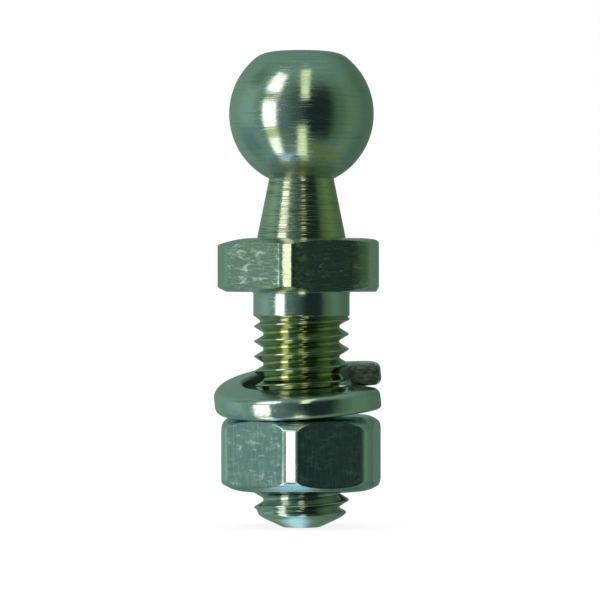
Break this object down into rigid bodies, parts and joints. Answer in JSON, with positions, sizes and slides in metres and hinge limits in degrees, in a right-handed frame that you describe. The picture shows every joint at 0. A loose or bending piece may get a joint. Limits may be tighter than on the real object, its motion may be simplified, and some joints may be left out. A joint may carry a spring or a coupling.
{
  "type": "ball stud",
  "caption": "Turned steel ball stud with a tapered neck, hexagon flange and M8 threaded shank, carrying a split spring washer and a hexagon nut.",
  "frame": {"origin": "on the stud's axis, in the plane of the flange's underside, which seats on the bracket", "axes": "+Z along the stud's axis, from the thread towards the ball; +X towards the washer's split"},
  "size_m": [0.0139, 0.0142, 0.0395],
  "materials": {
    "stud_steel": "bright turned steel with fine turning lines, softly mirror-like",
    "washer_steel": "bright plated spring steel with rolled edges",
    "nut_steel": "bright plated steel, lightly scuffed flats and rounded corners"
  },
  "bodies": {
    "stud": {"ball_stud": "stud_steel"},
    "washer": {"spring_washer": "washer_steel"},
    "nut": {"hex_nut": "nut_steel"}
  },
  "joints": [
    {"name": "nut_travel", "type": "slide", "parent": "stud", "child": "washer", "axis": [0, 0, 1], "range_m": [-0.00812, 0.00531]},
    {"name": "nut_turn", "type": "hinge", "parent": "washer", "child": "nut", "pos_m": [0, 0, 0], "axis": [0, 0, 1], "range_deg": [-2340, 1530]}
  ],
  "couplings": [
    {"joint": "nut_turn", "follows": "nut_travel", "rad_per_m": 5026.5}
  ]
}
